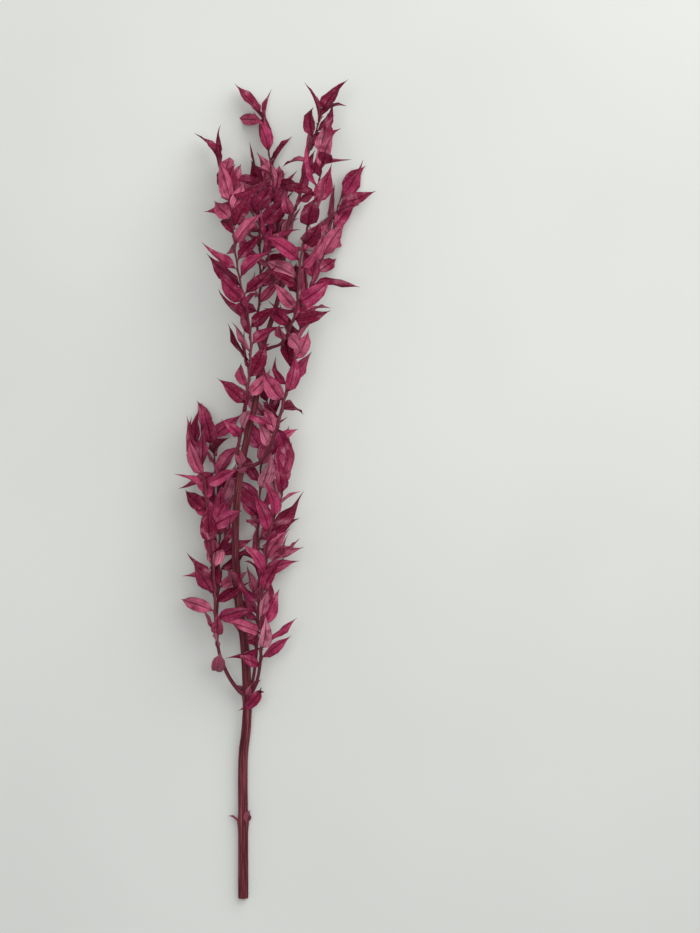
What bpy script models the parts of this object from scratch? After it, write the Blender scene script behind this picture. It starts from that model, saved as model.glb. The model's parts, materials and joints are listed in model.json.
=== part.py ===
"""A dried ruscus stem that lies on a surface: a jointed cane and ten leafy sprays.

The cane lies along +Y with its cut end on the surface at the -Y end, and climbs towards its leafy top, which
the lowest leaves hold up. Each spray is a thin twig with its leaves grown on, and stands 0.3 mm off the cane.
"""

import math
import random
from collections import namedtuple

import bmesh
import bpy
from mathutils import Matrix, Vector
from mathutils.bvhtree import BVHTree

MM = 0.001

# The routes below are in millimetres from the cut end, and this point of them is the part's origin.
ORIGIN_X = 30.0
ORIGIN_Y = 356.4

# Gap between solids, and the thickness of a blade
GAP = 0.3
BLADE_THICKNESS = 0.7

# The cane: its route with heights over the surface, its radii, the power of the way along by which it thins,
# and how far along it the joints are
CANE_ROUTE = (
    (0, 0, 4.2),
    (0, 60, 5.1),
    (0, 120, 7.2),
    (3, 150, 10),
    (4, 178, 14),
    (2, 222, 20),
    (-3, 264, 27),
    (-5.5, 312, 33),
    (-3.5, 352, 38),
    (0, 376, 41),
    (6, 406, 45),
    (13.5, 438, 48),
    (18.5, 477, 51),
    (25, 498, 52.5),
    (34, 528, 54),
    (37.5, 560, 56),
    (41, 586, 57),
)
CANE_FOOT_RADIUS = 4.2
CANE_TOP_RADIUS = 1.5
CANE_TAPER = 1.6
CANE_STEP = 11.0
CANE_JOINTS = (66, 179, 280, 379, 483, 540)
JOINT_SWELL = 0.16
JOINT_LENGTH = 6.0

# Twigs are sampled at this step to keep leaves clear of them, and have rings at this one. They thin towards
# their tips by this power of the way along.
TWIG_STEP = 14.0
TWIG_TUBE_STEP = 16.0
TWIG_TIP_RADIUS = 0.6
TWIG_TAPER = 0.8

# Leaves follow each other at this step and lean off their twig by an angle in degrees that gets less towards
# the tip. The last one leads on from a foot this far back from the twig's end.
LEAF_STEP = 7.2
FOOT_LEAN = 52.0
LEAN_LOSS = 16.0
TIP_LEAN = 6.0
TIP_LEAF_BACK = 2

# How far leaves stray, in degrees: in their lean, round the twig from its two sides, and in the turn of their
# face
LEAN_STRAY = 22.0
ROUND_STRAY = 76.0
FACE_STRAY = 50.0

# How much a leaf's face turns up from the surface, whichever way it grows
FACE_UP = 0.7

# The leaf at a twig's tip strays less, and has one of the first, flatter forms.
TIP_STRAY = 0.4
TIP_FORMS = 3

# Leaves are this long, stray by this share of it, and have this share of it at the foot of a twig.
LEAF_LENGTH = 37.0
LENGTH_STRAY = 0.13
FOOT_LEAF = 0.78
ROOT_WIDTH = 0.1
WIDEST = 0.37
ACUTENESS = 1.4

# A leaf that reaches the surface is pressed flat over its last few millimetres, and none is pushed deeper.
PRESS_HEIGHT = 3.0
MOST_PRESSED = 9.0

# Least distance from a blade's middle surface to another spray, and to the other leaves of its own spray
CLEAR_OF_OTHERS = 1.3
CLEAR_OF_OWN = 0.9

# A leaf is tried again while it doesn't fit, each time strayed further by this share, and from a set try on
# it may touch its own spray's leaves.
TRIES = 60
TRIES_CLEAR_OF_OWN = 45
FIRST_SPREAD = 0.7
SPREAD_STEP = 1 / 30

# Points of a blade that are tried against others: rows along it, and which of them is near its middle. Blades
# whose middles are further apart than this reach aren't tried.
SAMPLE_ROWS = 10
MIDDLE = 22
NEIGHBOUR_REACH = 1.5 * LEAF_LENGTH

# Stretches of a curve between two points of its route, rows of a blade's middle surface, and sides of a
# twig's
FINE_STEPS = 40
SURFACE_ROWS = 8
SURFACE_SIDES = 6

# Edges sharper than this many degrees are shaded as edges.
SHARP_ANGLE = 40

# Width to length, and then in degrees: arch, sideways bow and twist from foot to tip, and lift of the halves
# off the midrib
LeafForm = namedtuple("LeafForm", "width arch bow twist fold")
LEAF_FORMS = (
    LeafForm(0.38, 16, 14, 8, 16),
    LeafForm(0.36, 40, -26, -26, 22),
    LeafForm(0.40, -20, 22, 18, 14),
    LeafForm(0.33, 68, 8, 36, 28),
    LeafForm(0.37, 8, -16, -50, 20),
    LeafForm(0.34, 28, 38, 58, 24),
    LeafForm(0.41, 52, -10, -14, 12),
    LeafForm(0.31, -44, 20, -34, 36),
)

# Rows of points along a blade in the solid, as shares of its length
BLADE_ROWS = (0.0, 0.42, 1.0)

# A twig starts inside what it grows from. bare is the length at its foot that has no leaves.
Twig = namedtuple("Twig", "foot_radius bare seed route")
SPRAYS = {
    "spray_low_left": (
        Twig(1.85, 56, 104, (
            (4, 178, 14), (-4, 184, 17), (-13, 198, 21), (-20, 218, 26), (-22.5, 244, 32), (-23, 270, 37),
            (-25, 301, 41), (-28, 331, 43), (-30.5, 354, 43), (-34, 379, 41), (-40, 396, 37))),
        Twig(1.2, 34, 157, (
            (-21.5, 232, 29), (-21.5, 250, 27), (-20.5, 274, 23), (-20, 304, 19), (-20.5, 338, 16),
            (-23, 371, 14), (-26, 394, 13), (-30, 409, 12))),
    ),
    "spray_low_right": (
        Twig(1.6, 34, 136, (
            (4, 178, 14), (11, 187, 20), (15.5, 205, 28), (17.5, 232, 37), (18.5, 264, 45), (21, 290, 50),
            (24, 318, 53), (30, 337, 54), (35, 353, 52), (37, 375, 47))),
    ),
    "spray_low_back": (
        Twig(1.5, 44, 127, (
            (4, 178, 14), (8.5, 190, 10), (11.5, 213, 8), (13, 244, 9), (14.5, 284, 11), (13.5, 316, 12),
            (14.5, 348, 12), (16, 380, 12), (19, 408, 12), (22, 434, 10))),
    ),
    "spray_mid_left": (
        Twig(1.6, 30, 103, (
            (0, 376, 41), (-3.5, 386, 46), (-1, 400, 51), (3, 418, 56), (6, 438, 61), (9, 467, 67),
            (9.5, 486, 70), (6.5, 510, 73), (0, 538, 74), (-3.5, 560, 72), (-5.5, 580, 69), (-8, 600, 65),
            (-11, 614, 60))),
    ),
    "spray_mid_right": (
        Twig(1.7, 34, 147, (
            (0, 376, 41), (8, 378, 45), (15.5, 381, 49), (21, 387, 53), (26, 396, 57), (31, 410, 60),
            (38, 436, 62), (45, 465, 59), (50, 490, 52), (55, 520, 42), (62, 539, 34), (71, 562, 25),
            (78, 582, 18), (83, 603, 14), (87, 618, 12))),
    ),
    "spray_mid_back": (
        Twig(1.2, 40, 109, (
            (18.5, 477, 51), (14.5, 486, 44), (14, 504, 35), (15.5, 530, 27), (15.5, 561, 22), (15, 585, 18),
            (13.5, 612, 15), (12, 630, 13))),
    ),
    "spray_upper_right": (
        Twig(1.4, 24, 133, (
            (18.5, 477, 51), (26, 479, 57), (36, 483, 63), (43, 496, 69), (48.5, 512, 74), (50, 530, 77),
            (52, 554, 79), (58.5, 581, 79), (63, 597, 77), (67, 615, 74), (69.5, 632, 71), (71, 647, 67))),
    ),
    "spray_upper_left": (
        Twig(1.3, 26, 103, (
            (34, 528, 54), (28, 535, 60), (25, 548, 62), (23, 564, 61), (19, 577, 58), (12, 591, 51),
            (3, 604, 44), (-6, 613, 38), (-13, 620, 33), (-17.5, 630, 29), (-20, 640, 26))),
    ),
    "spray_upper_back": (
        Twig(1.3, 26, 134, (
            (34, 528, 54), (38.5, 539, 47), (36, 562, 39), (31.5, 586, 32), (28.5, 612, 26), (25.5, 633, 21),
            (22.5, 655, 18), (20, 673, 16), (15.5, 685, 15))),
    ),
    "spray_tip": (
        Twig(1.5, 8, 128, (
            (40.6, 583, 56.9), (44, 593, 57.5), (49.5, 604, 58), (52.5, 622, 57), (56, 636, 55),
            (60.5, 653, 53), (66, 669, 50), (70, 683, 47))),
    ),
}

CANE_COLOUR = (0.16, 0.055, 0.06, 1.0)
LEAF_COLOUR = (0.27, 0.03, 0.095, 1.0)


def clear_scene():
    for old in list(bpy.data.objects):
        bpy.data.objects.remove(old)


def new_collection(name):
    group = bpy.data.collections.new(name)
    bpy.context.scene.collection.children.link(group)
    return group


def plain_material(name, colour, roughness):
    """A Principled material of one colour."""
    material = bpy.data.materials.new(name)
    material.use_nodes = True
    shader = material.node_tree.nodes["Principled BSDF"]
    shader.inputs["Base Color"].default_value = colour
    shader.inputs["Roughness"].default_value = roughness
    shader.inputs["Metallic"].default_value = 0.0
    material.diffuse_color = colour
    return material


def spline_point(points, place):
    """A point of the smooth curve through points, where place counts whole stretches from the first point."""
    first = min(int(place), len(points) - 2)
    share = place - first
    before = points[max(first - 1, 0)]
    start = points[first]
    end = points[first + 1]
    after = points[min(first + 2, len(points) - 1)]
    return 0.5 * (
        2 * start
        + (end - before) * share
        + (2 * before - 5 * start + 4 * end - after) * share**2
        + (3 * start - before - 3 * end + after) * share**3
    )


def even_points(route, step):
    """Points of the smooth curve through route, evenly spaced by about step."""
    knots = [Vector(p) for p in route]
    fine = [spline_point(knots, k / FINE_STEPS) for k in range(FINE_STEPS * (len(knots) - 1) + 1)]
    length = sum((b - a).length for a, b in zip(fine, fine[1:]))
    stretches = max(2, round(length / step))
    wanted = [length * k / stretches for k in range(1, stretches)]
    points = [fine[0]]
    walked = 0.0
    for a, b in zip(fine, fine[1:]):
        reach = (b - a).length
        while wanted and walked + reach >= wanted[0]:
            points.append(a.lerp(b, (wanted.pop(0) - walked) / reach))
        walked += reach
    return points + [fine[-1]]


def tangents(points):
    """The direction of the curve at each of its points."""
    ahead = points[1:] + [points[-1]]
    behind = [points[0]] + points[:-1]
    return [(a - b).normalized() for a, b in zip(ahead, behind)]


def in_part_frame(point):
    """A point in millimetres from the cut end, as metres from the part's origin."""
    return Vector((point.x - ORIGIN_X, point.y - ORIGIN_Y, point.z)) * MM


def tube(name, points, radii, sides_level, group):
    """A closed mesh tube along points, from a curve with a bevel and filled caps."""
    curve = bpy.data.curves.new(name, "CURVE")
    curve.dimensions = "3D"
    curve.bevel_depth = MM
    curve.bevel_resolution = sides_level
    curve.use_fill_caps = True
    spline = curve.splines.new("POLY")
    spline.points.add(len(points) - 1)
    for knot, point, radius in zip(spline.points, points, radii):
        knot.co = (*in_part_frame(point), 1.0)
        knot.radius = radius
    guide = bpy.data.objects.new(name + "_guide", curve)
    group.objects.link(guide)
    evaluated = guide.evaluated_get(bpy.context.evaluated_depsgraph_get())
    mesh = bpy.data.meshes.new_from_object(evaluated)
    bpy.data.objects.remove(guide)
    bpy.data.curves.remove(curve)
    shell = bmesh.new()
    shell.from_mesh(mesh)
    bmesh.ops.remove_doubles(shell, verts=shell.verts, dist=0.01 * MM)
    bmesh.ops.recalc_face_normals(shell, faces=shell.faces)
    shell.to_mesh(mesh)
    shell.free()
    mesh.name = name
    made = bpy.data.objects.new(name, mesh)
    group.objects.link(made)
    return made


def distances(points):
    """How far along the curve each of its points is."""
    walked = [0.0]
    for a, b in zip(points, points[1:]):
        walked.append(walked[-1] + (b - a).length)
    return walked


def cane_radii(points):
    """The cane's radius at each point: a taper, steeper towards the top, with a swelling at each joint."""
    walked = distances(points)
    radii = []
    for place in walked:
        share = place / walked[-1]
        swell = sum(math.exp(-(((place - joint) / JOINT_LENGTH) ** 2)) for joint in CANE_JOINTS)
        taper = CANE_FOOT_RADIUS - (CANE_FOOT_RADIUS - CANE_TOP_RADIUS) * share**CANE_TAPER
        radii.append(taper * (1 + JOINT_SWELL * swell))
    return radii


def cane_tube(name, grow, group):
    """The cane, or with grow the space that it needs, as wide and as long again by that much all round."""
    points = even_points(CANE_ROUTE, CANE_STEP)
    radii = [radius + grow for radius in cane_radii(points)]
    ways = tangents(points)
    points[0] = points[0] - ways[0] * grow
    points[-1] = points[-1] + ways[-1] * grow
    return tube(name, points, radii, 2, group)


def twig_tube(name, twig, group):
    """A twig without its leaves, tapered from foot to tip."""
    points = even_points(twig.route, TWIG_TUBE_STEP)
    last = len(points) - 1
    loss = twig.foot_radius - TWIG_TIP_RADIUS
    radii = [twig.foot_radius - loss * (k / last) ** TWIG_TAPER for k in range(last + 1)]
    return tube(name, points, radii, 1, group)


def half_width(along):
    """Half the width of a blade one unit wide: lance-shaped, with a narrow foot and a drawn-out tip."""
    rise = ACUTENESS * WIDEST / (1 - WIDEST)
    peak = WIDEST**rise * (1 - WIDEST) ** ACUTENESS
    shape = along**rise * (1 - along) ** ACUTENESS / peak
    foot = ROOT_WIDTH * max(0.0, 1 - along / WIDEST)
    return 0.5 * max(shape, foot)


def bent_point(form, along, reach, side, lift):
    """A point of a blade one unit long, bent by its form. side and lift are off its midrib, in reaches."""
    arch = math.radians(form.arch)
    bow = math.radians(form.bow)
    bent = arch * along
    bowed = bow * along
    ahead = math.sin(bent) / arch
    sunk = (1 - math.cos(bent)) / arch
    aside = (1 - math.cos(bowed)) / bow
    twist = math.radians(form.twist) * along
    sideways = reach * (side * math.cos(twist) - lift * math.sin(twist))
    upwards = reach * (side * math.sin(twist) + lift * math.cos(twist))
    return Vector((
        aside + sideways * math.cos(bowed),
        ahead - sideways * math.sin(bowed) + upwards * math.sin(bent),
        upwards * math.cos(bent) - sunk,
    ))


def blade_point(form, along, across):
    """A point of a blade one unit long, with its foot at zero, its midrib along +Y and its face to +Z."""
    fold = math.radians(form.fold)
    reach = half_width(along) * form.width
    return bent_point(form, along, reach, across * math.cos(fold), abs(across) * math.sin(fold))


def pressed(point):
    """A point of a blade, lifted where the surface under the stem holds it up."""
    floor = BLADE_THICKNESS / 2
    over = point.z - floor - PRESS_HEIGHT
    if over >= 0:
        return point
    return Vector((point.x, point.y, floor + PRESS_HEIGHT * math.exp(over / PRESS_HEIGHT)))


# place turns and sizes a blade of one unit, and puts its foot on the twig's axis.
Leaf = namedtuple("Leaf", "form place")


def leaf_point(leaf, along, across):
    return pressed(leaf.place @ blade_point(leaf.form, along, across))


def leaf_samples(leaf):
    """Points all over a blade, for telling how near it is to others."""
    return [
        leaf_point(leaf, along / SAMPLE_ROWS, across / 2)
        for along in range(1, SAMPLE_ROWS + 1)
        for across in (-2, -1, 0, 1, 2)
    ]


def leaf_tree(leaf):
    """The blade's middle surface, for finding the nearest point on it."""
    corners = [
        leaf_point(leaf, along / SURFACE_ROWS, across)
        for along in range(SURFACE_ROWS + 1)
        for across in (-1, 0, 1)
    ]
    faces = [
        (3 * row + side, 3 * row + side + 1, 3 * row + side + 4, 3 * row + side + 3)
        for row in range(SURFACE_ROWS)
        for side in (0, 1)
    ]
    return BVHTree.FromPolygons(corners, faces)


def tube_tree(points, radii):
    """A surface round a route, for finding the nearest point on it."""
    sides = SURFACE_SIDES
    corners = []
    for point, way, radius in zip(points, tangents(points), radii):
        side = way.cross(Vector((0, 0, 1))).normalized()
        up = side.cross(way)
        for k in range(sides):
            turn = 2 * math.pi * k / sides
            corners.append(point + (side * math.cos(turn) + up * math.sin(turn)) * radius)
    faces = [
        (
            sides * row + k,
            sides * row + (k + 1) % sides,
            sides * (row + 1) + (k + 1) % sides,
            sides * (row + 1) + k,
        )
        for row in range(len(points) - 1)
        for k in range(sides)
    ]
    return BVHTree.FromPolygons(corners, faces)


# Where a leaf stands: point and direction of the twig, share of the leafy length, side (1 right, -1 left),
# lean off the twig in degrees, how freely it strays, and how many of the leaf forms it may have
Place = namedtuple("Place", "point way share side lean stray forms")


def leaf_places(twig):
    """The places of a twig's leaves, from its foot to its tip, where one leaf carries on from the end."""
    points = even_points(twig.route, 1.0)
    ways = tangents(points)
    walked = distances(points)
    leafy = walked[-1] - twig.bare
    count = max(2, round(leafy / LEAF_STEP))
    places = []
    for k in range(count):
        share = k / count
        index = min(range(len(points)), key=lambda i: abs(walked[i] - twig.bare - leafy * share))
        side = 1 if k % 2 else -1
        lean = FOOT_LEAN - LEAN_LOSS * share
        places.append(Place(points[index], ways[index], share, side, lean, 1.0, len(LEAF_FORMS)))
    places.append(Place(points[-1 - TIP_LEAF_BACK], ways[-1], 1.0, 1, TIP_LEAN, TIP_STRAY, TIP_FORMS))
    return places


def leaf_at(place, spread, rng):
    """A leaf at a place, strayed from the rule by spread."""
    spread *= place.stray
    right = place.way.cross(Vector((0, 0, 1))).normalized()
    up = right.cross(place.way)
    round_twig = math.radians(rng.gauss(0, ROUND_STRAY) * spread)
    off_twig = math.radians(place.lean + rng.gauss(0, LEAN_STRAY) * spread)
    outwards = right * place.side * math.cos(round_twig) + up * math.sin(round_twig)
    ahead = place.way * math.cos(off_twig) + outwards * math.sin(off_twig)
    face = place.way.cross(ahead).normalized()
    if face.z < 0:
        face = -face
    face += up * FACE_UP
    face = (face - ahead * face.dot(ahead)).normalized()
    face = Matrix.Rotation(math.radians(rng.gauss(0, FACE_STRAY) * spread), 3, ahead) @ face
    across = ahead.cross(face)
    grown = min(1.0, FOOT_LEAF + place.share) * rng.uniform(1 - LENGTH_STRAY, 1 + LENGTH_STRAY)
    form = LEAF_FORMS[rng.randrange(place.forms)]
    turned = Matrix((across, ahead, face)).transposed().to_4x4()
    return Leaf(form, Matrix.Translation(place.point) @ turned @ Matrix.Scale(LEAF_LENGTH * grown, 4))


# A grown blade, for keeping others clear of it: its spray, points all over it, and its middle surface
Grown = namedtuple("Grown", "spray samples surface")


def nears(samples, surface, clear):
    """True if any of the points lies nearer than clear to the surface."""
    return any(surface.find_nearest(point, clear)[0] is not None for point in samples)


def fits(leaf, grown, tubes, blades, own):
    """True if a leaf isn't deep in the surface, and clears other sprays and, with own set, its own leaves."""
    lowest = min((leaf.place @ blade_point(leaf.form, k / 5, 0)).z for k in range(6))
    if lowest < -MOST_PRESSED:
        return False
    for spray, surface in tubes:
        if spray != grown.spray and nears(grown.samples, surface, CLEAR_OF_OTHERS):
            return False
    for other in blades:
        if other.spray == grown.spray and not own:
            continue
        if (other.samples[MIDDLE] - grown.samples[MIDDLE]).length > NEIGHBOUR_REACH:
            continue
        clear = CLEAR_OF_OWN if other.spray == grown.spray else CLEAR_OF_OTHERS
        if nears(grown.samples, other.surface, clear) or nears(other.samples, grown.surface, clear):
            return False
        if grown.surface.overlap(other.surface):
            return False
    return True


def grow_leaves(spray, twigs, tubes, blades):
    """The leaves of one spray, each turned until it fits, and left out where it never does."""
    leaves = []
    for twig in twigs:
        rng = random.Random(twig.seed)
        for place in leaf_places(twig):
            for attempt in range(TRIES):
                leaf = leaf_at(place, FIRST_SPREAD + attempt * SPREAD_STEP, rng)
                grown = Grown(spray, leaf_samples(leaf), leaf_tree(leaf))
                if fits(leaf, grown, tubes, blades, attempt < TRIES_CLEAR_OF_OWN):
                    blades.append(grown)
                    leaves.append(leaf)
                    break
    return leaves


def leaf_blade(name, leaf, group):
    """One leaf as a closed solid: a bent grid with a pointed tip, given its thickness."""
    mesh = bpy.data.meshes.new(name)
    blade = bmesh.new()
    rows = len(BLADE_ROWS)
    bmesh.ops.create_grid(blade, x_segments=2, y_segments=rows - 1, size=1.0)
    for corner in blade.verts:
        row = round((corner.co.y + 1) / 2 * (rows - 1))
        corner.co = in_part_frame(leaf_point(leaf, BLADE_ROWS[row], round(corner.co.x)))
    bmesh.ops.remove_doubles(blade, verts=blade.verts, dist=0.001 * MM)
    bmesh.ops.triangulate(blade, faces=blade.faces)
    blade.to_mesh(mesh)
    blade.free()
    made = bpy.data.objects.new(name, mesh)
    group.objects.link(made)
    wall = made.modifiers.new("thickness", "SOLIDIFY")
    wall.thickness = BLADE_THICKNESS * MM
    wall.offset = 0.0
    return made


def apply_modifiers(made):
    """The object's evaluated mesh becomes its own mesh."""
    evaluated = made.evaluated_get(bpy.context.evaluated_depsgraph_get())
    mesh = bpy.data.meshes.new_from_object(evaluated)
    made.modifiers.clear()
    old = made.data
    made.data = mesh
    bpy.data.meshes.remove(old)
    mesh.name = made.name


def boolean(made, operation, operand):
    """Joins made with a collection of solids, or cuts one object from it."""
    step = made.modifiers.new(operation.lower(), "BOOLEAN")
    step.operation = operation
    step.solver = "EXACT"
    if operation == "UNION":
        step.operand_type = "COLLECTION"
        step.collection = operand
    else:
        step.object = operand
    apply_modifiers(made)


def spray_solid(name, twigs, leaves, cane_space, group):
    """One spray: its first twig cut clear of the cane, and joined with its side twigs and leaves."""
    made = twig_tube(name, twigs[0], group)
    boolean(made, "DIFFERENCE", cane_space)
    growth = new_collection(name + "_growth")
    for number, twig in enumerate(twigs[1:], 1):
        twig_tube(f"{name}_twig_{number}", twig, growth)
    for number, leaf in enumerate(leaves):
        leaf_blade(f"{name}_leaf_{number}", leaf, growth)
    boolean(made, "UNION", growth)
    for joined in list(growth.objects):
        bpy.data.objects.remove(joined)
    bpy.data.collections.remove(growth)
    return made


def finish(made, material):
    """Gives a piece its material and smooth shading."""
    made.data.materials.clear()
    made.data.materials.append(material)
    made.data.shade_smooth()
    made.data.set_sharp_from_angle(angle=math.radians(SHARP_ANGLE))


def twig_trees():
    """The cane and every twig, as surfaces that leaves keep clear of."""
    cane = even_points(CANE_ROUTE, CANE_STEP)
    trees = [("cane", tube_tree(cane, cane_radii(cane)))]
    for spray, twigs in SPRAYS.items():
        for twig in twigs:
            points = even_points(twig.route, TWIG_STEP)
            trees.append((spray, tube_tree(points, [twig.foot_radius] * len(points))))
    return trees


def main():
    clear_scene()
    parts = new_collection("dried_ruscus_stem")
    guides = new_collection("guides")
    cane_material = plain_material("cane", CANE_COLOUR, 0.6)
    leaf_material = plain_material("leaf", LEAF_COLOUR, 0.5)

    finish(cane_tube("cane", 0.0, parts), cane_material)
    cane_space = cane_tube("cane_space", GAP, guides)

    tubes = twig_trees()
    blades = []
    for name, twigs in SPRAYS.items():
        leaves = grow_leaves(name, twigs, tubes, blades)
        finish(spray_solid(name, twigs, leaves, cane_space, parts), leaf_material)

    bpy.data.objects.remove(cane_space)
    bpy.data.collections.remove(guides)


main()
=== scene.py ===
"""The looks of a dried ruscus stem, dyed burgundy, that lies on a pale surface and is seen from above.

The routes, seeds and placing rule are the solids' own, so every leaf stands where its solid one stands.
Lengths are in millimetres from the cut end until in_part_frame turns them into metres in the part's frame.
"""

import json
import math
import random
from collections import namedtuple

import bmesh
import bpy
from mathutils import Matrix, Vector
from mathutils.bvhtree import BVHTree

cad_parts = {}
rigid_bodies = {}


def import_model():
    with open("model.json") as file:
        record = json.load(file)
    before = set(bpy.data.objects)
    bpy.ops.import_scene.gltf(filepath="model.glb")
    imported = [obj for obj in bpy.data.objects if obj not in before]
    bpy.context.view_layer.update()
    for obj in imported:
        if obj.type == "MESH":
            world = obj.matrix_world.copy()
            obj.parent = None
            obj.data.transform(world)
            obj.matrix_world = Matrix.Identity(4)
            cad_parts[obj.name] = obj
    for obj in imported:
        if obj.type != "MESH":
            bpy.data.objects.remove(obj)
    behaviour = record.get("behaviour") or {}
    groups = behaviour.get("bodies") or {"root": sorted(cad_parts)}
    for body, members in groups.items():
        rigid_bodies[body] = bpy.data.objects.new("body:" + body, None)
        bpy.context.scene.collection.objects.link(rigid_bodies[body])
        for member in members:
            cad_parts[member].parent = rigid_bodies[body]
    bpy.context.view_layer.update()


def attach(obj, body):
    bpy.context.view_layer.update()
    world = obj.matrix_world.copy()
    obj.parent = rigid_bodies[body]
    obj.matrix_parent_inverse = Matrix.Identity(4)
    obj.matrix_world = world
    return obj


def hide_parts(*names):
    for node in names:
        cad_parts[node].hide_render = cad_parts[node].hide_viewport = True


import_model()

MM = 0.001

# The point of the routes that is the part's origin
ORIGIN_X = 30.0
ORIGIN_Y = 356.4

# The cane, as in the solids: its route from the cut end, with heights over the surface, its radii, and how
# far along its joints are
CANE_ROUTE = (
    (0, 0, 4.2), (0, 60, 5.1), (0, 120, 7.2), (3, 150, 10), (4, 178, 14), (2, 222, 20), (-3, 264, 27),
    (-5.5, 312, 33), (-3.5, 352, 38), (0, 376, 41), (6, 406, 45), (13.5, 438, 48), (18.5, 477, 51),
    (25, 498, 52.5), (34, 528, 54), (37.5, 560, 56), (41, 586, 57),
)
CANE_FOOT_RADIUS = 4.2
CANE_TOP_RADIUS = 1.5
CANE_TAPER = 1.6
CANE_STEP = 11.0
CANE_JOINTS = (66, 179, 280, 379, 483, 540)
JOINT_SWELL = 0.16
JOINT_LENGTH = 6.0

# Twigs and their leaves, as in the solids
TWIG_STEP = 14.0
TWIG_TIP_RADIUS = 0.6
TWIG_TAPER = 0.8
LEAF_STEP = 7.2
FOOT_LEAN = 52.0
LEAN_LOSS = 16.0
TIP_LEAN = 6.0
TIP_LEAF_BACK = 2
LEAN_STRAY = 22.0
ROUND_STRAY = 76.0
FACE_STRAY = 50.0
FACE_UP = 0.7
TIP_STRAY = 0.4
TIP_FORMS = 3
LEAF_LENGTH = 37.0
LENGTH_STRAY = 0.13
FOOT_LEAF = 0.78
ROOT_WIDTH = 0.1
WIDEST = 0.37
ACUTENESS = 1.4
BLADE_THICKNESS = 0.7
PRESS_HEIGHT = 3.0
MOST_PRESSED = 9.0
CLEAR_OF_OTHERS = 1.3
CLEAR_OF_OWN = 0.9
TRIES = 60
TRIES_CLEAR_OF_OWN = 45
FIRST_SPREAD = 0.7
SPREAD_STEP = 1 / 30
SAMPLE_ROWS = 10
RIB_STRETCHES = 5
MIDDLE = 22
NEIGHBOUR_REACH = 1.5 * LEAF_LENGTH
FINE_STEPS = 40
SURFACE_ROWS = 8
SURFACE_SIDES = 6

# A leaf's width to its length, and then in degrees: arch, sideways bow and twist from foot to tip, and lift
# of the halves off the midrib
LeafForm = namedtuple("LeafForm", "width arch bow twist fold")
LEAF_FORMS = (
    LeafForm(0.38, 16, 14, 8, 16),
    LeafForm(0.36, 40, -26, -26, 22),
    LeafForm(0.40, -20, 22, 18, 14),
    LeafForm(0.33, 68, 8, 36, 28),
    LeafForm(0.37, 8, -16, -50, 20),
    LeafForm(0.34, 28, 38, 58, 24),
    LeafForm(0.41, 52, -10, -14, 12),
    LeafForm(0.31, -44, 20, -34, 36),
)

# A twig starts inside what it grows from. bare is the length at its foot that has no leaves.
Twig = namedtuple("Twig", "foot_radius bare seed route")
SPRAYS = {
    "spray_low_left": (
        Twig(1.85, 56, 104, (
            (4, 178, 14), (-4, 184, 17), (-13, 198, 21), (-20, 218, 26), (-22.5, 244, 32), (-23, 270, 37),
            (-25, 301, 41), (-28, 331, 43), (-30.5, 354, 43), (-34, 379, 41), (-40, 396, 37))),
        Twig(1.2, 34, 157, (
            (-21.5, 232, 29), (-21.5, 250, 27), (-20.5, 274, 23), (-20, 304, 19), (-20.5, 338, 16),
            (-23, 371, 14), (-26, 394, 13), (-30, 409, 12))),
    ),
    "spray_low_right": (
        Twig(1.6, 34, 136, (
            (4, 178, 14), (11, 187, 20), (15.5, 205, 28), (17.5, 232, 37), (18.5, 264, 45), (21, 290, 50),
            (24, 318, 53), (30, 337, 54), (35, 353, 52), (37, 375, 47))),
    ),
    "spray_low_back": (
        Twig(1.5, 44, 127, (
            (4, 178, 14), (8.5, 190, 10), (11.5, 213, 8), (13, 244, 9), (14.5, 284, 11), (13.5, 316, 12),
            (14.5, 348, 12), (16, 380, 12), (19, 408, 12), (22, 434, 10))),
    ),
    "spray_mid_left": (
        Twig(1.6, 30, 103, (
            (0, 376, 41), (-3.5, 386, 46), (-1, 400, 51), (3, 418, 56), (6, 438, 61), (9, 467, 67),
            (9.5, 486, 70), (6.5, 510, 73), (0, 538, 74), (-3.5, 560, 72), (-5.5, 580, 69), (-8, 600, 65),
            (-11, 614, 60))),
    ),
    "spray_mid_right": (
        Twig(1.7, 34, 147, (
            (0, 376, 41), (8, 378, 45), (15.5, 381, 49), (21, 387, 53), (26, 396, 57), (31, 410, 60),
            (38, 436, 62), (45, 465, 59), (50, 490, 52), (55, 520, 42), (62, 539, 34), (71, 562, 25),
            (78, 582, 18), (83, 603, 14), (87, 618, 12))),
    ),
    "spray_mid_back": (
        Twig(1.2, 40, 109, (
            (18.5, 477, 51), (14.5, 486, 44), (14, 504, 35), (15.5, 530, 27), (15.5, 561, 22),
            (15, 585, 18),
            (13.5, 612, 15), (12, 630, 13))),
    ),
    "spray_upper_right": (
        Twig(1.4, 24, 133, (
            (18.5, 477, 51), (26, 479, 57), (36, 483, 63), (43, 496, 69), (48.5, 512, 74), (50, 530, 77),
            (52, 554, 79), (58.5, 581, 79), (63, 597, 77), (67, 615, 74), (69.5, 632, 71), (71, 647, 67))),
    ),
    "spray_upper_left": (
        Twig(1.3, 26, 103, (
            (34, 528, 54), (28, 535, 60), (25, 548, 62), (23, 564, 61), (19, 577, 58), (12, 591, 51),
            (3, 604, 44), (-6, 613, 38), (-13, 620, 33), (-17.5, 630, 29), (-20, 640, 26))),
    ),
    "spray_upper_back": (
        Twig(1.3, 26, 134, (
            (34, 528, 54), (38.5, 539, 47), (36, 562, 39), (31.5, 586, 32), (28.5, 612, 26),
            (25.5, 633, 21),
            (22.5, 655, 18), (20, 673, 16), (15.5, 685, 15))),
    ),
    "spray_tip": (
        Twig(1.5, 8, 128, (
            (40.6, 583, 56.9), (44, 593, 57.5), (49.5, 604, 58), (52.5, 622, 57), (56, 636, 55),
            (60.5, 653, 53), (66, 669, 50), (70, 683, 47))),
    ),
}

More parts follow.
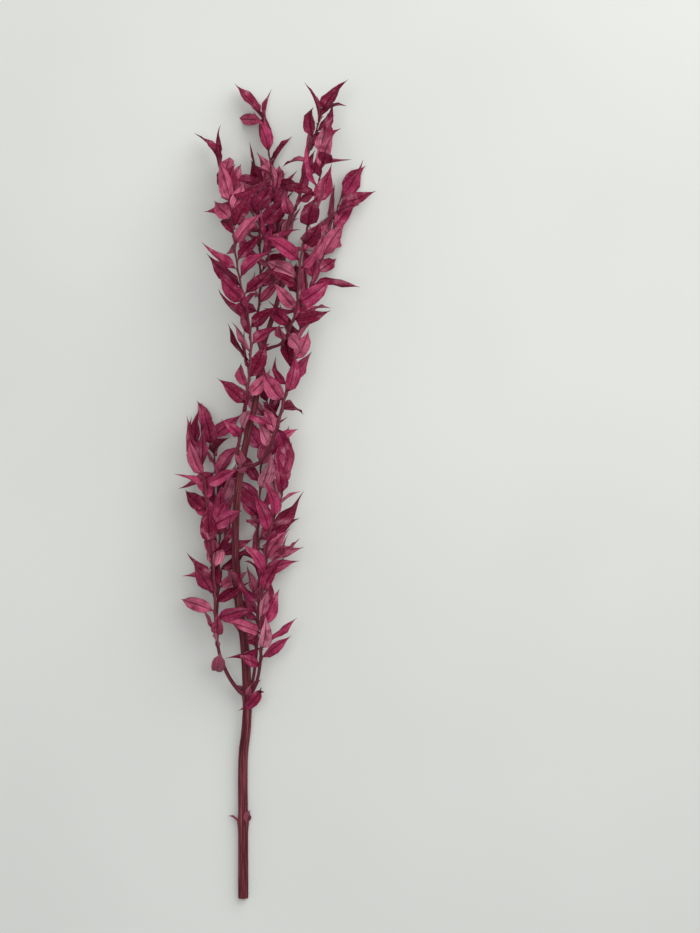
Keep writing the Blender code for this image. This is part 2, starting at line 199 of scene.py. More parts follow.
# The finer shape that a leaf has here, with its length as 1: rows of points along it, columns across it, how
# many variants each form has, its thickness and what the midrib and foot add to that, its stalk, belly and
# tip, its waved edge, the step for finding the way its skin faces, how near points are to be one, and the
# bend in degrees from which an edge is sharp
LEAF_ROWS = (0.0, 0.07, 0.2, 0.32, 0.46, 0.62, 0.78, 0.9, 1.0)
LEAF_COLUMNS = (-1.0, -0.5, 0.0, 0.5, 1.0)
LEAF_VARIANTS = 2
LEAF_THICKNESS = 0.012
RIB_THICKNESS = 0.6
FOOT_THICKNESS = 1.6
FOOT_SPAN = 0.07
FOOT_TAPER = 0.22
STALK_WIDTH = 0.11
BELLY = 1.06
TIP_START = 0.6
TIP_TAPER = 0.6
EDGE_WAVE = 0.2
EDGE_WAVES = 1.7
WAVE_SHIFT = 0.37
HALF_BULGE = 0.35
SKIN_STEP = 0.01
SAME_POINT = 1e-6
SHARP_EDGE = 80.0

# How far leaves and scales are crumpled, in millimetres, how fine the crumples are in a metre, and the seed
# of the shades
CRUMPLE = 0.5
CRUMPLE_SIZE = 85.0
CRUMPLE_DETAIL = 1.0
SHADE_SEED = 7

# The small dry scale under each leaf's foot: its points, its form, how far back it stands, how far out as a
# share of the twig's radius, its lean, its length and how that varies
SCALE_ROWS = (0.0, 0.3, 0.65, 1.0)
SCALE_COLUMNS = (-1.0, 0.0, 1.0)
SCALE_FORM = LeafForm(0.5, -34, 6, 10, -34)
SCALE_BACK = 1.2
SCALE_DEPTH = 0.7
SCALE_LEAN = 28.0
SCALE_LENGTH = 3.6
SCALE_LENGTHS = (0.8, 1.25)

# The dry scales at the cane's joints. The first forms clasp each joint, one of each. Then how many those
# are, their length and lean and how both vary, how far out they stand as a share of the radius, and how far
# they stray from even turns.
CLASP_FORMS = (
    LeafForm(0.58, -20, 22, 30, -44),
    LeafForm(0.46, -56, -28, -44, -38),
    LeafForm(0.5, 40, 34, 64, 34),
    LeafForm(0.42, 110, 16, 10, 18),
)
CLASPS = 3
CLASP_LENGTH = 16.0
CLASP_LENGTHS = (0.6, 1.1)
CLASP_LEAN = 22.0
CLASP_LEANS = (0.4, 1.4)
CLASP_DEPTH = 0.85
CLASP_STRAY = 0.2

# Scales that have come loose, and small shrivelled leaves at the forks: each with its foot, its tip, the
# turn of its face in degrees and its form. Then the range of their shades.
LOOSE_SCALES = (
    ((-18.5, 217, 29), (-22, 189, 34), 0, 3),
    ((1, 378, 46), (-4.5, 396, 51), 35, 2),
    ((-4, 375, 46), (8, 373, 48), -20, 1),
)
SHRIVELLED_FORMS = (
    LeafForm(0.36, -60, -50, 80, 52),
    LeafForm(0.40, 10, 80, 40, 36),
    LeafForm(0.38, -30, 24, 60, 30),
)
SHRIVELLED = (
    ((16.7, 186, 23), (9, 159, 19), 20, 1),
    ((11, 182, 21), (24, 188, 27), 60, 0),
    ((-22.5, 238, 31), (-31, 246, 33), 40, 0),
    ((17, 222, 33), (-14, 211, 32), -30, 2),
)
PLACED_SHADES = (0.1, 0.35)

# The bark of the cane and the twigs: distance between rings of points, points and ridges round a ring,
# height of the lumps and how fine they are in a metre, and broad waves among the ridges
Relief = namedtuple("Relief", "ring_step sides ridges lumps lump_size")
CANE_RELIEF = Relief(2.0, 60, 15, 0.5, 60.0)
CANE_SHARP_EDGE = 50.0
TWIG_RELIEF = Relief(1.5, 18, 6, 0.25, 120.0)
RIDGE_HEIGHT = 0.045
BROAD_WAVES = 3.0
BROAD_HEIGHT = 0.7
LUMP_DETAIL = 3.0

# The thin ring at each joint of the cane, and the rim of bark that stands round its cut end
RING_HEIGHT = 0.25
RING_LENGTH = 1.4
RIM_WIDTH = 0.45
RIM_HEIGHT = 0.25

# How a twig bends from side to side and swells where its leaves grow, thickens at its foot and thins out at
# its end, which is the last share of its length
ZIGZAG = 0.4
NODE_SWELL = 0.3
NODE_LENGTH = 1.3
TWIG_FOOT_SWELL = 0.3
TWIG_FOOT_LENGTH = 9.0
TWIG_END = 0.03
TWIG_END_LOSS = 0.5

# Colours, as linear red, green and blue, dark to pale for the bark, and the share of light that goes through
# a leaf
LEAF_DARK = (0.16, 0.002, 0.027)
LEAF_MIDDLE = (0.54, 0.048, 0.158)
LEAF_LIGHT = (0.73, 0.165, 0.29)
# LEAF_PINK is a real pale tone, and in the pink blotches and streaks partly painted highlight
LEAF_PINK = (0.82, 0.31, 0.43)
LEAF_VEIN = (0.11, 0.001, 0.018)
LEAF_RIB = (0.075, 0.001, 0.008)
LEAF_TIP = (0.10, 0.014, 0.024)
LEAF_GLOW = (1.0, 0.85, 0.95)
LEAF_THROUGH = 0.3
# The bark's dark and pale colours, over its broad streaks, are partly painted shading along the stems
CANE_COLOURS = ((0.022, 0.001, 0.003), (0.100, 0.012, 0.020), (0.25, 0.065, 0.080))
TWIG_COLOURS = ((0.028, 0.001, 0.005), (0.110, 0.013, 0.026), (0.26, 0.070, 0.095))
CUT_PITH = (0.50, 0.27, 0.22)
CUT_WOOD = (0.26, 0.09, 0.09)
SCALE_DARK = (0.085, 0.012, 0.026)
SCALE_MIDDLE = (0.22, 0.036, 0.072)
SCALE_PALE = (0.38, 0.12, 0.165)
FLOOR_COLOUR = (0.59, 0.60, 0.575)
# The floor's second colour is painted shade: darker clouds that stand in for uneven light
FLOOR_PAINTED_SHADE = (0.565, 0.575, 0.55)
SKY_COLOUR = (0.97, 0.99, 1.0)

# Patterns: how fine one is, in a metre or across and along what it is on, then its detail and its roughness
LEAF_BLOTCHES = (95.0, 3.0, 0.6)
LEAF_DOTS = (700.0, 3.0, 0.7)
# The leaf's streak pattern gives real veins and pale streaks that are partly painted highlight
LEAF_STREAKS = ((26.0, 2.2, 1.0), 3.0, 0.6)
SCALE_FIBRES = ((18.0, 1.4, 1.0), 3.0, 0.6)
SCALE_DOTS = (900.0, 2.0, 0.6)
# The bark's streak pattern gives fine real lines and broad bands of painted shading
BARK_STREAKS_AND_SHADING = ((5.0, 5.0, 35.0), 4.0, 0.65)
BARK_PATCHES = ((1.2, 1.2, 14.0), 2.0, 0.5)
BARK_DOTS = (900.0, 3.0, 0.7)
CUT_FIBRES = (2600.0, 1.0, 0.5)
# The floor's clouds of painted shade follow this pattern
FLOOR_SHADE_PATTERN = (3.0, 2.0, 0.5)

# The veins of a leaf: how many cross it, how far the streaks bend them, the heights of their wave and of
# the streaks at which they start and are full, and how much they cover
VEINS = 7
VEIN_BEND = 2.2
VEIN_WAVE = (0.35, 0.95)
VEIN_STREAKS = (0.4, 0.62)
VEIN_COVER = 0.75

# Where the colours of a leaf stand in its shade, and those of a scale and the bark in their fibres and
# streaks, and how far a scale's shade evens out its fibres
LEAF_SHADES = ((0.0, LEAF_DARK), (0.45, LEAF_MIDDLE), (0.92, LEAF_LIGHT), (1.0, LEAF_PINK))
SCALE_SHADES = ((0.3, SCALE_DARK), (0.5, SCALE_MIDDLE), (0.75, SCALE_PALE))
SCALE_EVENED = 0.6
# The bark's stops stand far apart, so its broad bands are painted shading as well as real lines
BARK_STREAK_AND_SHADING_STOPS = (0.34, 0.5, 0.66)

# Layers over a colour: the heights of a pattern at which one starts and is full, how much it covers there,
# and, but for the bark, its colour
DARK_BLOTCHES = (0.45, 0.70, 0.7, LEAF_DARK)
# Pink blotches and streaks are partly real pale scars and lines and partly painted highlight
PINK_BLOTCHES_AND_HIGHLIGHTS = (0.48, 0.25, 0.6, LEAF_PINK)
PINK_STREAKS_AND_HIGHLIGHTS = (0.42, 0.28, 0.4, LEAF_PINK)
PINK_DOTS = (0.5, 0.75, 0.2, LEAF_PINK)
DARK_RIB = (0.06, 0.015, 0.75, LEAF_RIB)
DARK_EDGE = (0.44, 0.49, 0.6, LEAF_VEIN)
DARK_FOOT = (0.2, 0.04, 0.85, LEAF_RIB)
DARK_TIP = (0.84, 0.97, 0.8, LEAF_TIP)
BARK_DARK_PATCHES = (0.5, 0.75, 0.6)
BARK_PALE_DOTS = (0.5, 0.8, 0.35)
WOODY_FIBRES = (0.5, 0.65, 0.7, CUT_WOOD)
# The floor's darker clouds are painted shade, for uneven light
PAINTED_SHADE_CLOUDS = (0.3, 0.7, 1.0, FLOOR_PAINTED_SHADE)

# Where the cut end's colour starts and is full, in millimetres along the cane, and its ring of wood, as
# shares of the cane's radius
CUT_EDGE = (0.3, 0.1)
WOOD_RING = (0.62, 0.8)

# How a surface takes light: its least and most roughness, gloss, and the strength and depth of its relief.
# Dots set the roughness between two heights of theirs, and stand in the relief of leaves and bark.
Finish = namedtuple("Finish", "smooth rough gloss relief depth")
LEAF_FINISH = Finish(0.42, 0.62, 0.08, 0.5, 0.0002)
SCALE_FINISH = Finish(0.55, 0.75, 0.3, 0.6, 0.0002)
BARK_FINISH = Finish(0.5, 0.72, 0.15, 0.6, 0.0003)
DOTS_RANGE = (0.3, 0.7)
LEAF_DOT_HEIGHT = 0.5
BARK_DOT_HEIGHT = 0.3
FLOOR_ROUGHNESS = 0.9
FLOOR_GLOSS = 0.1

# The surface, and the lights over it: place and target in metres from the origin, side in metres, and power
# in watts
FLOOR_SIDE = 8.0
KEY_LIGHT = ((0.9, 1.0, 1.4), (0.0, 0.05, 0.03), 2.0, 34.0)
FILL_LIGHT = ((-0.15, 0.1, 1.75), (0.0, 0.0, 0.03), 0.8, 10.0)
SKY_STRENGTH = 0.45

# Sockets of the node that mixes colours
MIX_SHARE = 0
MIX_FIRST = 6
MIX_SECOND = 7
MIX_RESULT = 2

# The camera stands so high that a pixel is PIXEL_SIZE wide at PIXEL_HEIGHT over the surface, and looks down
# on AXIS_X and AXIS_Y of the routes.
FRAME_HEIGHT = 933
LENS = 85.0
SENSOR = 36.0
PIXEL_SIZE = 0.85
PIXEL_HEIGHT = 60.0
AXIS_X = 93.5
AXIS_Y = 377.8


def spline_point(points, reached):
    """A point of the smooth curve through points, where reached counts the stretches from the first one."""
    first = min(int(reached), len(points) - 2)
    share = reached - first
    before = points[max(first - 1, 0)]
    start = points[first]
    end = points[first + 1]
    after = points[min(first + 2, len(points) - 1)]
    return 0.5 * (
        2 * start
        + (end - before) * share
        + (2 * before - 5 * start + 4 * end - after) * share**2
        + (3 * start - before - 3 * end + after) * share**3
    )


def even_points(route, step):
    """Points of the smooth curve through route, evenly spaced by about step."""
    knots = [Vector(p) for p in route]
    fine = [spline_point(knots, k / FINE_STEPS) for k in range(FINE_STEPS * (len(knots) - 1) + 1)]
    length = sum((b - a).length for a, b in zip(fine, fine[1:]))
    stretches = max(2, round(length / step))
    wanted = [length * k / stretches for k in range(1, stretches)]
    points = [fine[0]]
    walked = 0.0
    for a, b in zip(fine, fine[1:]):
        reach = (b - a).length
        while wanted and walked + reach >= wanted[0]:
            points.append(a.lerp(b, (wanted.pop(0) - walked) / reach))
        walked += reach
    return points + [fine[-1]]


def tangents(points):
    """The direction of the curve at each of its points."""
    ahead = points[1:] + [points[-1]]
    behind = [points[0]] + points[:-1]
    return [(a - b).normalized() for a, b in zip(ahead, behind)]


def right_and_up(way):
    """The level direction to the right of a way, and the one that stands up from both."""
    right = way.cross(Vector((0, 0, 1))).normalized()
    return right, right.cross(way)


def stood(point, ahead, face, length):
    """The matrix that puts a blade on a point, with its length along ahead and its upper side to face."""
    turned = Matrix((ahead.cross(face), ahead, face)).transposed().to_4x4()
    return Matrix.Translation(point) @ turned @ Matrix.Scale(length, 4)


def in_part_frame(point):
    """A point in millimetres from the cut end, as metres from the part's origin."""
    return Vector((point.x - ORIGIN_X, point.y - ORIGIN_Y, point.z)) * MM


def distances(points):
    """How far along the curve each of its points is."""
    walked = [0.0]
    for a, b in zip(points, points[1:]):
        walked.append(walked[-1] + (b - a).length)
    return walked


def cane_radii(points):
    """The cane's radius at each point: a taper, steeper towards the top, with a swelling at each joint."""
    walked = distances(points)
    radii = []
    for reached in walked:
        share = reached / walked[-1]
        swell = sum(math.exp(-(((reached - joint) / JOINT_LENGTH) ** 2)) for joint in CANE_JOINTS)
        taper = CANE_FOOT_RADIUS - (CANE_FOOT_RADIUS - CANE_TOP_RADIUS) * share**CANE_TAPER
        radii.append(taper * (1 + JOINT_SWELL * swell))
    return radii


def half_width(along):
    """Half the width of a blade one unit wide: lance-shaped, with a narrow foot and a drawn-out tip."""
    rise = ACUTENESS * WIDEST / (1 - WIDEST)
    peak = WIDEST**rise * (1 - WIDEST) ** ACUTENESS
    shape = along**rise * (1 - along) ** ACUTENESS / peak
    foot = ROOT_WIDTH * max(0.0, 1 - along / WIDEST)
    return 0.5 * max(shape, foot)


def bent_point(form, along, reach, side, lift):
    """A point of a blade one unit long, bent by its form. side and lift are off its midrib, in reaches."""
    arch = math.radians(form.arch)
    bow = math.radians(form.bow)
    bent = arch * along
    bowed = bow * along
    ahead = math.sin(bent) / arch
    sunk = (1 - math.cos(bent)) / arch
    aside = (1 - math.cos(bowed)) / bow
    twist = math.radians(form.twist) * along
    sideways = reach * (side * math.cos(twist) - lift * math.sin(twist))
    upwards = reach * (side * math.sin(twist) + lift * math.cos(twist))
    return Vector((
        aside + sideways * math.cos(bowed),
        ahead - sideways * math.sin(bowed) + upwards * math.sin(bent),
        upwards * math.cos(bent) - sunk,
    ))


def blade_point(form, along, across):
    """A point of a blade one unit long, with its foot at zero, its midrib along +Y and its face to +Z."""
    fold = math.radians(form.fold)
    reach = half_width(along) * form.width
    return bent_point(form, along, reach, across * math.cos(fold), abs(across) * math.sin(fold))


def pressed(point):
    """A point of a blade, lifted where the surface under the stem holds it up."""
    floor = BLADE_THICKNESS / 2
    over = point.z - floor - PRESS_HEIGHT
    if over >= 0:
        return point
    return Vector((point.x, point.y, floor + PRESS_HEIGHT * math.exp(over / PRESS_HEIGHT)))


# matrix turns and sizes a blade of one unit, and puts its foot on the twig's axis.
Leaf = namedtuple("Leaf", "form matrix")


def leaf_point(leaf, along, across):
    """A point of a leaf where it stands."""
    return pressed(leaf.matrix @ blade_point(leaf.form, along, across))


def leaf_samples(leaf):
    """Points all over a blade, for telling how near others are. The one numbered MIDDLE is on its midrib."""
    return [
        leaf_point(leaf, along / SAMPLE_ROWS, across / 2)
        for along in range(1, SAMPLE_ROWS + 1)
        for across in (-2, -1, 0, 1, 2)
    ]


def grid_tree(rows, closed=False):
    """The surface between rows of points, for finding the nearest point. closed joins each row's ends."""
    wide = len(rows[0])
    faces = []
    for row in range(0, wide * (len(rows) - 1), wide):
        for k in range(wide if closed else wide - 1):
            after = (k + 1) % wide
            faces.append((row + k, row + after, row + wide + after, row + wide + k))
    return BVHTree.FromPolygons([point for row in rows for point in row], faces)


def leaf_tree(leaf):
    """The blade's middle surface."""
    return grid_tree([
        [leaf_point(leaf, along / SURFACE_ROWS, across) for across in (-1, 0, 1)]
        for along in range(SURFACE_ROWS + 1)
    ])


def tube_tree(points, radii):
    """A surface round a route."""
    turns = [2 * math.pi * k / SURFACE_SIDES for k in range(SURFACE_SIDES)]
    rings = []
    for point, way, radius in zip(points, tangents(points), radii):
        right, up = right_and_up(way)
        rings.append([point + (right * math.cos(turn) + up * math.sin(turn)) * radius for turn in turns])
    return grid_tree(rings, closed=True)


# Where a leaf stands: point and direction of the twig, share of the leafy length, side (1 right, -1 left),
# lean off the twig in degrees, how freely it strays, and how many of the leaf forms it may have
Place = namedtuple("Place", "point way share side lean stray forms")


def leaf_places(twig):
    """The places of a twig's leaves, from its foot to its tip, where one leaf carries on from the end."""
    points = even_points(twig.route, 1.0)
    ways = tangents(points)
    walked = distances(points)
    leafy = walked[-1] - twig.bare
    count = max(2, round(leafy / LEAF_STEP))
    places = []
    for k in range(count):
        share = k / count
        index = min(range(len(points)), key=lambda i: abs(walked[i] - twig.bare - leafy * share))
        side = 1 if k % 2 else -1
        lean = FOOT_LEAN - LEAN_LOSS * share
        places.append(Place(points[index], ways[index], share, side, lean, 1.0, len(LEAF_FORMS)))
    places.append(Place(points[-1 - TIP_LEAF_BACK], ways[-1], 1.0, 1, TIP_LEAN, TIP_STRAY, TIP_FORMS))
    return places


def leaf_at(place, spread, rng):
    """A leaf at a place, strayed from the rule by spread."""
    spread *= place.stray
    right, up = right_and_up(place.way)
    round_twig = math.radians(rng.gauss(0, ROUND_STRAY) * spread)
    off_twig = math.radians(place.lean + rng.gauss(0, LEAN_STRAY) * spread)
    outwards = right * place.side * math.cos(round_twig) + up * math.sin(round_twig)
    ahead = place.way * math.cos(off_twig) + outwards * math.sin(off_twig)
    face = place.way.cross(ahead).normalized()
    if face.z < 0:
        face = -face
    face += up * FACE_UP
    face = (face - ahead * face.dot(ahead)).normalized()
    face = Matrix.Rotation(math.radians(rng.gauss(0, FACE_STRAY) * spread), 3, ahead) @ face
    grown = min(1.0, FOOT_LEAF + place.share) * rng.uniform(1 - LENGTH_STRAY, 1 + LENGTH_STRAY)
    form = LEAF_FORMS[rng.randrange(place.forms)]
    return Leaf(form, stood(place.point, ahead, face, LEAF_LENGTH * grown))


# A grown blade, for keeping others clear of it: its spray, points all over it, and its middle surface
Grown = namedtuple("Grown", "spray samples surface")


def nears(samples, surface, clear):
    """True if any of the points lies nearer than clear to the surface."""
    return any(surface.find_nearest(point, clear)[0] is not None for point in samples)


def fits(leaf, grown, tubes, blades, own):
    """True if a leaf isn't deep in the surface, and clears other sprays and, with own set, its own."""
    rib = [leaf.matrix @ blade_point(leaf.form, k / RIB_STRETCHES, 0) for k in range(RIB_STRETCHES + 1)]
    lowest = min(point.z for point in rib)
    if lowest < -MOST_PRESSED:
        return False
    for spray, surface in tubes:
        if spray != grown.spray and nears(grown.samples, surface, CLEAR_OF_OTHERS):
            return False
    for other in blades:
        if other.spray == grown.spray and not own:
            continue
        if (other.samples[MIDDLE] - grown.samples[MIDDLE]).length > NEIGHBOUR_REACH:
            continue
        clear = CLEAR_OF_OWN if other.spray == grown.spray else CLEAR_OF_OTHERS
        if nears(grown.samples, other.surface, clear) or nears(other.samples, grown.surface, clear):
            return False
        if grown.surface.overlap(other.surface):
            return False
    return True


def grow_leaves(spray, twigs, tubes, blades):
    """The leaves of a spray with their places, each turned until it fits, or left out if it never does."""
    leaves = []
    for twig in twigs:
        rng = random.Random(twig.seed)
        for place in leaf_places(twig):
            for attempt in range(TRIES):
                leaf = leaf_at(place, FIRST_SPREAD + attempt * SPREAD_STEP, rng)
                grown = Grown(spray, leaf_samples(leaf), leaf_tree(leaf))
                if fits(leaf, grown, tubes, blades, attempt < TRIES_CLEAR_OF_OWN):
                    blades.append(grown)
                    leaves.append((place, leaf))
                    break
    return leaves


def twig_trees():
    """The cane and every twig, as surfaces that leaves keep clear of."""
    cane = even_points(CANE_ROUTE, CANE_STEP)
    trees = [("cane", tube_tree(cane, cane_radii(cane)))]
    for spray, twigs in SPRAYS.items():
        for twig in twigs:
            points = even_points(twig.route, TWIG_STEP)
            trees.append((spray, tube_tree(points, [twig.foot_radius] * len(points))))
    return trees


def node(tree, kind, inputs=None, **settings):
    """Adds a node. inputs gives its sockets a value, or another node's output to come from."""
    made = tree.nodes.new(kind)
    for name, value in settings.items():
        setattr(made, name, value)
    for key, value in (inputs or {}).items():
        if isinstance(value, bpy.types.NodeSocket):
            tree.links.new(value, made.inputs[key])
        else:
            made.inputs[key].default_value = value
    return made


def geometry_tree(name, sizes):
    """A Geometry Nodes tree with a mesh in, a mesh out, and a named input for each size."""
    tree = bpy.data.node_groups.new(name, "GeometryNodeTree")
    tree.is_modifier = True
    tree.interface.new_socket("Geometry", in_out="INPUT", socket_type="NodeSocketGeometry")
    for label, kind in sizes.items():
        tree.interface.new_socket(label, in_out="INPUT", socket_type="NodeSocket" + kind)
    tree.interface.new_socket("Geometry", in_out="OUTPUT", socket_type="NodeSocketGeometry")
    return tree, tree.nodes.new("NodeGroupInput").outputs


def close_tree(tree, geometry, material):
    """The last nodes of a tree: real faces with their material."""
    real = node(tree, "GeometryNodeRealizeInstances", {"Geometry": geometry})
    painted = node(tree, "GeometryNodeSetMaterial", {"Geometry": real.outputs[0], "Material": material})
    node(tree, "NodeGroupOutput", {"Geometry": painted.outputs[0]})


def math_node(tree, operation, *values):
    """A number worked out from others, each a value or an output."""
    return node(tree, "ShaderNodeMath", dict(enumerate(values)), operation=operation).outputs[0]


def times(tree, vector, factor):
    """A vector made longer or shorter."""
    return node(tree, "ShaderNodeVectorMath", {0: vector, "Scale": factor}, operation="SCALE").outputs[0]


def parts(tree, vector):
    """The X, Y and Z of a vector."""
    return node(tree, "ShaderNodeSeparateXYZ", {0: vector}).outputs


def named(tree, kind, name):
    """An attribute of the geometry by its name."""
    return node(tree, "GeometryNodeInputNamedAttribute", {"Name": name}, data_type=kind).outputs[0]


def stored(tree, geometry, kind, name, value):
    """The geometry with a named attribute."""
    inputs = {"Geometry": geometry, "Name": name, "Value": value}
    return node(tree, "GeometryNodeStoreNamedAttribute", inputs, data_type=kind).outputs[0]


def moved(tree, geometry, **where):
    """The geometry with its points at a Position or moved by an Offset."""
    return node(tree, "GeometryNodeSetPosition", {"Geometry": geometry, **where}).outputs[0]


def ridged_stem_tree():
    """Makes a line of points a closed ridged stem, which keeps its way round and along for the colours."""
    tree, sizes = geometry_tree("ridged_stem", {
        "Sides": "Int", "Ridges": "Int", "Ridge Height": "Float", "Lumps": "Float", "Lump Size": "Float",
        "Material": "Material",
    })
    line = node(tree, "GeometryNodeMeshToCurve", {"Mesh": sizes["Geometry"]}).outputs[0]
    radius = named(tree, "FLOAT", "radius")
    line = node(tree, "GeometryNodeSetCurveRadius", {"Curve": line, "Radius": radius}).outputs[0]
    along = node(tree, "GeometryNodeSplineParameter").outputs["Length"]
    line = stored(tree, line, "FLOAT", "along", along)

    circle = {"Resolution": sizes["Sides"], "Radius": 1.0}
    ring = node(tree, "GeometryNodeCurvePrimitiveCircle", circle).outputs[0]
    spot = node(tree, "GeometryNodeInputPosition").outputs[0]
    flat = parts(tree, spot)
    turn = math_node(tree, "ARCTAN2", flat["Y"], flat["X"])
    fine = math_node(tree, "SINE", math_node(tree, "MULTIPLY", turn, sizes["Ridges"]))
    broad = math_node(tree, "SINE", math_node(tree, "MULTIPLY", turn, BROAD_WAVES))
    both = math_node(tree, "MULTIPLY_ADD", broad, BROAD_HEIGHT, fine)
    ring = stored(tree, ring, "FLOAT_VECTOR", "round", spot)
    reach = math_node(tree, "MULTIPLY_ADD", both, sizes["Ridge Height"], 1.0)
    ring = moved(tree, ring, Position=times(tree, spot, reach))

    sweep = {"Curve": line, "Profile Curve": ring, "Scale": radius, "Fill Caps": True}
    skin = node(tree, "GeometryNodeCurveToMesh", sweep).outputs[0]
    fineness = {"Scale": sizes["Lump Size"], "Detail": LUMP_DETAIL}
    lumps = node(tree, "ShaderNodeTexNoise", fineness).outputs[0]
    height = math_node(tree, "MULTIPLY", math_node(tree, "SUBTRACT", lumps, 0.5), sizes["Lumps"])
    normal = node(tree, "GeometryNodeInputNormal").outputs[0]
    skin = moved(tree, skin, Offset=times(tree, normal, height))
    skin = node(tree, "GeometryNodeSetShadeSmooth", {"Geometry": skin}).outputs[0]
    close_tree(tree, skin, sizes["Material"])
    return tree


def growth_tree():
    """Puts a collection's shapes on points, turned and sized, and presses them flat on the floor."""
    tree, sizes = geometry_tree("growth", {
        "Shapes": "Collection", "Floor": "Float", "Press Height": "Float", "Crumple": "Float",
        "Crumple Size": "Float", "Material": "Material",
    })
    choice = {"Collection": sizes["Shapes"], "Separate Children": True, "Reset Children": True}
    placed = node(tree, "GeometryNodeInstanceOnPoints", {
        "Points": sizes["Geometry"],
        "Instance": node(tree, "GeometryNodeCollectionInfo", choice).outputs[0],
        "Pick Instance": True,
        "Instance Index": named(tree, "INT", "form"),
        "Rotation": named(tree, "FLOAT_VECTOR", "turn"),
        "Scale": named(tree, "FLOAT", "size"),
    }).outputs[0]
    real = node(tree, "GeometryNodeRealizeInstances", {"Geometry": placed}).outputs[0]

    fineness = {"Scale": sizes["Crumple Size"], "Detail": CRUMPLE_DETAIL}
    grain = node(tree, "ShaderNodeTexNoise", fineness).outputs["Color"]
    push = node(tree, "ShaderNodeVectorMath", {0: grain, 1: (0.5, 0.5, 0.5)}, operation="SUBTRACT")
    real = moved(tree, real, Offset=times(tree, push.outputs[0], sizes["Crumple"]))

    spot = parts(tree, node(tree, "GeometryNodeInputPosition").outputs[0])
    floor, press = sizes["Floor"], sizes["Press Height"]
    over = math_node(tree, "SUBTRACT", spot["Z"], math_node(tree, "ADD", floor, press))
    under = math_node(tree, "DIVIDE", math_node(tree, "MINIMUM", over, 0.0), press)
    lift = math_node(tree, "MULTIPLY_ADD", math_node(tree, "EXPONENT", under), press, floor)
    height = math_node(tree, "ADD", lift, math_node(tree, "MAXIMUM", over, 0.0))
    flattened = node(tree, "ShaderNodeCombineXYZ", {"X": spot["X"], "Y": spot["Y"], "Z": height})
    close_tree(tree, moved(tree, real, Position=flattened.outputs[0]), sizes["Material"])
    return tree


def new_object(name, data):
    """An object in the scene."""
    made = bpy.data.objects.new(name, data)
    bpy.context.scene.collection.objects.link(made)
    return made


def new_mesh(name, shape):
    """A mesh of a shape that is then done with."""
    mesh = bpy.data.meshes.new(name)
    shape.to_mesh(mesh)
    shape.free()
    return mesh


def grown_piece(name, base, tree, values):
    """The plain mesh that a tree makes of a base mesh, as a piece at the origin."""
    made = new_object(name, base)
    step = made.modifiers.new("growth", "NODES")
    step.node_group = tree
    for item in tree.interface.items_tree:
        if item.name in values:
            step[item.identifier] = values[item.name]
    evaluated = made.evaluated_get(bpy.context.evaluated_depsgraph_get())
    mesh = bpy.data.meshes.new_from_object(evaluated)
    made.modifiers.remove(step)
    made.data = mesh
    bpy.data.meshes.remove(base)
    mesh.name = name
    return made


def lines_mesh(name, lines):
    """Lines of points in millimetres with their radii, as the base of ridged stems."""
    corners = []
    edges = []
    radii = []
    for points, line_radii in lines:
        first = len(corners)
        corners += [in_part_frame(point) for point in points]
        edges += [(first + k, first + k + 1) for k in range(len(points) - 1)]
        radii += [radius * MM for radius in line_radii]
    mesh = bpy.data.meshes.new(name + "_line")
    mesh.from_pydata(corners, edges, [])
    mesh.attributes.new("radius", "FLOAT", "POINT").data.foreach_set("value", radii)
    return mesh


# A shape put on a point: the matrix in millimetres that turns, sizes and places it, the number of its form,
# and its own shade from 0 to 1
Growth = namedtuple("Growth", "matrix form shade")


def points_mesh(name, growths):
    """Points with a turn, size, form and shade each, as the base of grown shapes."""
    mesh = bpy.data.meshes.new(name + "_points")
    mesh.from_pydata([in_part_frame(growth.matrix.translation) for growth in growths], [], [])
    turns = [angle for growth in growths for angle in growth.matrix.to_euler()]
    for label, kind, field, values in (
        ("turn", "FLOAT_VECTOR", "vector", turns),
        ("size", "FLOAT", "value", [growth.matrix.to_scale().y * MM for growth in growths]),
        ("form", "INT", "value", [growth.form for growth in growths]),
        ("shade", "FLOAT", "value", [growth.shade for growth in growths]),
    ):
        mesh.attributes.new(label, kind, "POINT").data.foreach_set(field, values)
    return mesh


def eased(share):
    """A smooth step from 0 to 1."""
    share = min(1.0, max(0.0, share))
    return share * share * (3 - 2 * share)


def fine_half_width(along):
    """The solid's half width with a narrower stalk and a tip drawn out to a bristle."""
    foot = eased(along / FOOT_TAPER)
    tip = 1 - TIP_TAPER * eased((along - TIP_START) / (1 - TIP_START))
    stalk = 0.5 * STALK_WIDTH * (1 - along)
    return max(half_width(along) * foot * tip * BELLY, stalk * eased(1 - along))


def fine_point(form, wave_start, along, across):
    """A point of a leaf's middle surface, with waved edges and bulging halves."""
    fold = math.radians(form.fold)
    wave = EDGE_WAVE * across**2 * math.sin(2 * math.pi * (EDGE_WAVES * along + wave_start) + across)
    bulge = HALF_BULGE * (abs(across) - across**2)
    reach = fine_half_width(along) * form.width
    lift = abs(across) * math.sin(fold) + wave + bulge
    return bent_point(form, along, reach, across * math.cos(fold), lift)


def leaf_skin_point(form, wave_start, along, across, side):
    """A point of a leaf's upper (side 1) or lower (side -1) skin, which meet along its edge."""
    here = fine_point(form, wave_start, along, across)
    ahead = fine_point(form, wave_start, along + SKIN_STEP, across) - here
    right = fine_point(form, wave_start, along, across + SKIN_STEP)
    left = fine_point(form, wave_start, along, across - SKIN_STEP)
    normal = (right - left).cross(ahead).normalized()
    rib = 1 + RIB_THICKNESS * (across == 0)
    foot = 1 + FOOT_THICKNESS * math.exp(-((along / FOOT_SPAN) ** 2))
    ends = eased(along / LEAF_ROWS[1])
    return here + normal * side * 0.5 * LEAF_THICKNESS * rib * foot * ends * (1 - across**2)


